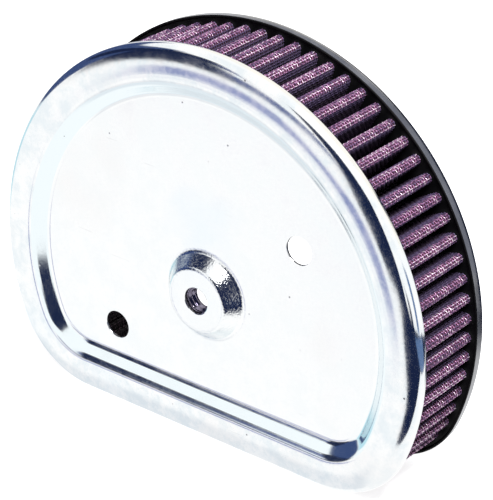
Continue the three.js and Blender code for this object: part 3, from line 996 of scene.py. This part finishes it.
def crimp_strip():
    """The folded strip over the pack's seam, pinched at even steps along its length."""
    half, sheet, leg, web = 2.85, 0.4, 15.0, 19.2
    front, rear, pinch_pitch, pinch = 9.6, 36.4, 4.47, 0.22
    base, inward = (rows[0] for rows in outline_frames([(PHASE + 0.5) / PLEATS]))
    across = np.array([inward[1], -inward[0]])

    def mirrored(points):
        return points + [(-u, w) for u, w in points[::-1]]

    outer = mirrored([(-half, leg), (-half, web - 0.8), (-half + 0.25, web - 0.25), (-half + 0.8, web)])
    inner = mirrored([(half - sheet, leg), (half - sheet, web - 0.9), (half - 0.55, web - 0.52),
                      (half - 0.95, web - sheet)])
    section = np.array(outer + inner)
    rows = []
    for depth in np.linspace(front, rear, 109):
        squeeze = pinch * max(0.0, math.cos(2 * math.pi * (depth - front) / pinch_pitch)) ** 6
        u = section[:, :1] - np.copysign(squeeze, section[:, :1])
        rows.append(at_depth(base + across * u + inward * section[:, 1:], depth))
    count = len(section)
    faces = ring_faces(len(rows), count, close_rows=False).tolist()
    last = (len(rows) - 1) * count
    for k in range(count // 2 - 1):
        m = count - 1 - k
        faces.append((k, k + 1, m - 1, m))
        faces.append((last + m, last + m - 1, last + k + 1, last + k))
    return make_object("pack_seam_crimp", np.concatenate(rows), faces, 35.0)


# ---- put the pieces in place


def place(obj, node, slot, *materials):
    """Gives a piece its materials, hangs it on the root body and hides the CAD node that it stands for."""
    for material in materials:
        obj.data.materials.append(material)
    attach(obj, "root")
    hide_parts(node)
    return obj


insert_steel = raw_steel("insert_steel", (0.42, 0.39, 0.50), (0.07, 0.06, 0.09), 0.10, 0.18, (260, 260, 260))
pan_steel = raw_steel("pan_sheet_steel", (0.44, 0.445, 0.46), (0.32, 0.325, 0.34), 0.16, 0.28,
                      (120, 2200, 120))
crimp_steel = raw_steel("crimp_strip_steel", (0.66, 0.67, 0.69), (0.48, 0.48, 0.50), 0.25, 0.38,
                        (900, 60, 900))
wire_tints = [
    wire("wire_bright", (0.99, 0.80, 0.96), 0.26),
    wire("wire_oiled", (0.50, 0.25, 0.45), 0.34),
    wire("wire_dull", (0.19, 0.10, 0.22), 0.42),
]
# darker copies of the wire: painted shade for the wires down in the folds
wire_shades = [
    wire("wire_flank_painted_shade", (0.15, 0.11, 0.22), 0.42),
    wire("wire_deep_painted_shade", (0.06, 0.04, 0.075), 0.50),
]
# the inner screen's wires are darkened copies of the outer ones: painted shade for the dark inside of the
# pack
inner_shaded_tints = [
    wire("inner_wire_oiled_painted_shade", (0.10, 0.06, 0.09), 0.5),
    wire("inner_wire_dull_painted_shade", (0.04, 0.03, 0.04), 0.6),
]

plate = place(front_plate(), "front_plate", "plated_steel", plated_steel(), sheared_steel())
mark_sheared_walls(plate.data)
place(thread_insert(), "boss_thread_insert", "insert_steel", insert_steel)
place(front_potting(), "front_potting_ring", "urethane_potting", potting("front_bed_urethane"))
place(rear_potting(), "rear_potting_ring", "urethane_potting", potting("rear_bed_urethane"))
place(gauze_sheet(), "cotton_gauze_pleats", "cotton_gauze", gauze())
outer_screen = screen_weave("outer_woven_screen", 0.32, 1, wire_tints, [0.4, 0.4, 0.2], wire_shades)
place(outer_screen, "outer_wire_screen", "wire_screen")
inner_screen = screen_weave("inner_woven_screen", 1.42, -1, inner_shaded_tints, [0.5, 0.5])
place(inner_screen, "inner_wire_screen", "wire_screen")
place(crimp_strip(), "seam_crimp_strip", "crimp_steel", crimp_steel)
pan = place(rear_pan(), "rear_end_pan", "pan_steel", pan_steel, potting("lip_urethane"))
mark_pan_lip(pan.data)
place(seal(), "rear_sealing_gasket", "seal_rubber", rubber())


# ---- floor, light and camera


def floor():
    """A large pale floor. Its own glow keeps it near white under the soft light."""
    bpy.ops.mesh.primitive_plane_add(size=12, location=(0, 0, cad_low.z))
    plane = bpy.context.object
    plane.name = "studio_floor"
    plane.data.materials.append(glowing("pale_floor", (0.9, 0.9, 0.9), (1.0, 1.0, 1.0), 0.80))
    plane.visible_glossy = False
    plane.visible_diffuse = False


# What polished steel sees of the studio, in degrees: (azimuth from, to, elevation from, to,
# softness, colour). Azimuth runs from the front towards the right. Later rows lie on top.
WHITE = (1.09, 1.09, 1.09)
CREAM = (1.09, 1.05, 0.97)
SILVER = (0.90, 0.92, 0.95)
CYAN = (0.58, 0.84, 0.92)
LILAC = (0.33, 0.36, 0.60)
SLATE = (0.14, 0.17, 0.34)
HAZE = (0.12, 0.20, 0.38)
ASH = (0.40, 0.42, 0.50)
INDIGO = (0.05, 0.08, 0.20)
NAVY = (0.012, 0.02, 0.06)
REFLECTED = [
    (24, 40, -19, -7, 4.0, NAVY),
    (-181, -132, 8, 65, 8.0, CREAM),
    (120, 181, 12, 65, 8.0, CREAM),
    (-100, -28, -60, -38, 6.0, SILVER),
    (-95, -70, -24, -10, 4.0, CYAN),
    (-41, -30, -21.8, -15.5, 2.0, LILAC),
    (-32.5, -24.5, -28, -20, 1.8, LILAC),
    (-37, -18, -10, -4.5, 2.0, SLATE),
    (-125, -48, -8.5, 30, 3.0, INDIGO),
    (-33, -28.5, 1, 17, 2.0, SLATE),
    (-52, -32.5, -11, 24, 2.0, NAVY),
    (72, 90, -12, 12, 4.0, HAZE),
    (140, 181, -30, 28, 5.0, NAVY),
    (-181, -158, -30, 20, 5.0, NAVY),
]


def world():
    """A white room, with tinted zones that only glossy surfaces see."""
    studio = bpy.data.worlds.new("studio")
    bpy.context.scene.world = studio
    studio.use_nodes = True
    studio.cycles.sampling_method = "NONE"
    n = Graph(studio.node_tree)
    n.tree.nodes.clear()
    direction = n.new("ShaderNodeTexCoord").outputs["Generated"]
    x, y, z = (n.split(direction, axis) for axis in "XYZ")
    azimuth = n.product(n.math("ARCTAN2", x, n.product(y, -1.0)), 180 / math.pi)
    elevation = n.product(n.math("ARCSINE", z), 180 / math.pi)
    colour = WHITE
    for left, right, low, high, softness, tint in REFLECTED:
        soft = softness / 2
        mask = n.product(
            n.spread(azimuth, left - soft, left + soft),
            n.spread(azimuth, right + soft, right - soft),
            n.spread(elevation, low - soft, low + soft),
            n.spread(elevation, high + soft, high - soft),
        )
        colour = n.mix(mask, colour, tint)
    path = n.new("ShaderNodeLightPath")
    # diffuse surfaces see a dimmer room, so that the softbox models them
    dimming = 0.65
    brightness = n.math("SUBTRACT", 1.0, n.product(path.outputs["Is Diffuse Ray"], dimming))
    plain = n.new("ShaderNodeBackground")
    n.link((1.0, 1.0, 1.0), plain.inputs["Color"])
    n.link(brightness, plain.inputs["Strength"])
    seen = n.new("ShaderNodeBackground")
    n.link(colour, seen.inputs["Color"])
    both = n.new("ShaderNodeMixShader")
    n.link(path.outputs["Is Glossy Ray"], both.inputs[0])
    n.link(plain.outputs[0], both.inputs[1])
    n.link(seen.outputs[0], both.inputs[2])
    n.link(both.outputs[0], n.new("ShaderNodeOutputWorld").inputs[0])


def card(name, colour, corners):
    """A flat card that only reflections see, from its corners in millimetres."""
    mesh = bpy.data.meshes.new(name)
    mesh.from_pydata([Vector(corner) * MM for corner in corners], [], [list(range(len(corners)))])
    mesh.update()
    mesh.materials.append(glowing(name, (0.0, 0.0, 0.0), colour, 1.0))
    obj = link_object(name, mesh)
    for part in ("camera", "diffuse", "shadow", "transmission", "volume_scatter"):
        setattr(obj, f"visible_{part}", False)


def ring_outline(radius, start, end):
    """Points of an arc about the D's centre, between angles in degrees."""
    angles = np.radians(np.linspace(start, end, 24))
    return [(radius * math.cos(angle), CENTRE_Z + radius * math.sin(angle)) for angle in angles]


def softbox():
    """The key light: a round soft lamp, up on the right in front."""
    place_at, aim = Vector((0.50, -0.40, 1.12)), Vector((0.0, 0.0, 0.07))
    data = bpy.data.lights.new("key_softbox", "AREA")
    data.shape = "DISK"
    data.size = 0.5
    data.energy = 25.0
    obj = link_object("key_softbox", data)
    obj.location = place_at
    obj.rotation_euler = (aim - place_at).to_track_quat("-Z", "Y").to_euler()
    obj.visible_camera = False


def camera():
    """The photograph's view."""
    azimuth, elevation, roll = (math.radians(angle) for angle in (37.721, 27.397, 0.916))
    distance = 0.88138
    aim = Vector((0.00065, 0.00597, 0.0675))
    back = Vector((math.sin(azimuth) * math.cos(elevation),
                   -math.cos(azimuth) * math.cos(elevation), math.sin(elevation)))
    right = (-back).cross(Vector((0, 0, 1))).normalized()
    up = right.cross(-back)
    turned_right = right * math.cos(roll) + up * math.sin(roll)
    turned_up = up * math.cos(roll) - right * math.sin(roll)
    data = bpy.data.cameras.new("photo_camera")
    data.sensor_width = 36
    data.lens = 174.69
    data.clip_start = 0.05
    data.clip_end = 50
    obj = link_object("photo_camera", data)
    matrix = Matrix((turned_right, turned_up, back)).transposed().to_4x4()
    matrix.translation = aim + back * distance
    obj.matrix_world = matrix
    bpy.context.scene.camera = obj


floor()
world()
# glowing cards that only reflections see, close enough that each part of the plate sees them elsewhere; the
# navy floor card is partly a painted shadow, the object's own shadow on the floor as the plate mirrors it,
# and partly dark surroundings
# painted shadow in part: a navy sheet on the floor next to the object, seen only in reflections
card("reflected_shadow_and_dark_floor", NAVY, [
    (76, -60, 0), (74, -89, 0), (68, -108, 0), (58, -128, 0), (45, -159, 0), (40, -190, 0), (30, -240, 0),
    (0, -304, 0), (150, -304, 0), (300, -260, 0), (400, -180, 0), (430, -50, 0), (400, 110, 0),
    (240, 180, 0), (200, 90, 0), (212, 10, 0), (218, -45, 0), (175, -54, 0), (138, -50, 0),
    (115, -50, 0), (95, -56, 0),
])
card("blue_mat", HAZE, [
    (232, -215, 1), (345, -150, 1), (405, -60, 1), (370, 100, 1), (205, 50, 1), (218, -20, 1), (232, -110, 1),
])
card("dark_stand", NAVY, [
    (-20, -304, -30), (118, -304, -20), (150, -304, 60), (150, -304, 340), (-5, -304, 340),
    (-8, -304, 175), (-26, -304, 90), (-38, -304, 30),
])
card("dark_flag", NAVY, [(95, -58, -5), (141, -304, -20), (141, -304, 370), (95, -58, 140)])
card("dark_canopy", NAVY, [(-20, -95, 157), (-20, -38, 157), (-175, 0, 157), (-175, -60, 157)])
card("dark_backdrop", ASH, [(x, 62, z) for x, z in ring_outline(152, 8, 150) + ring_outline(120, 150, 8)])
softbox()
camera()
bpy.context.scene.view_settings.view_transform = "Standard"
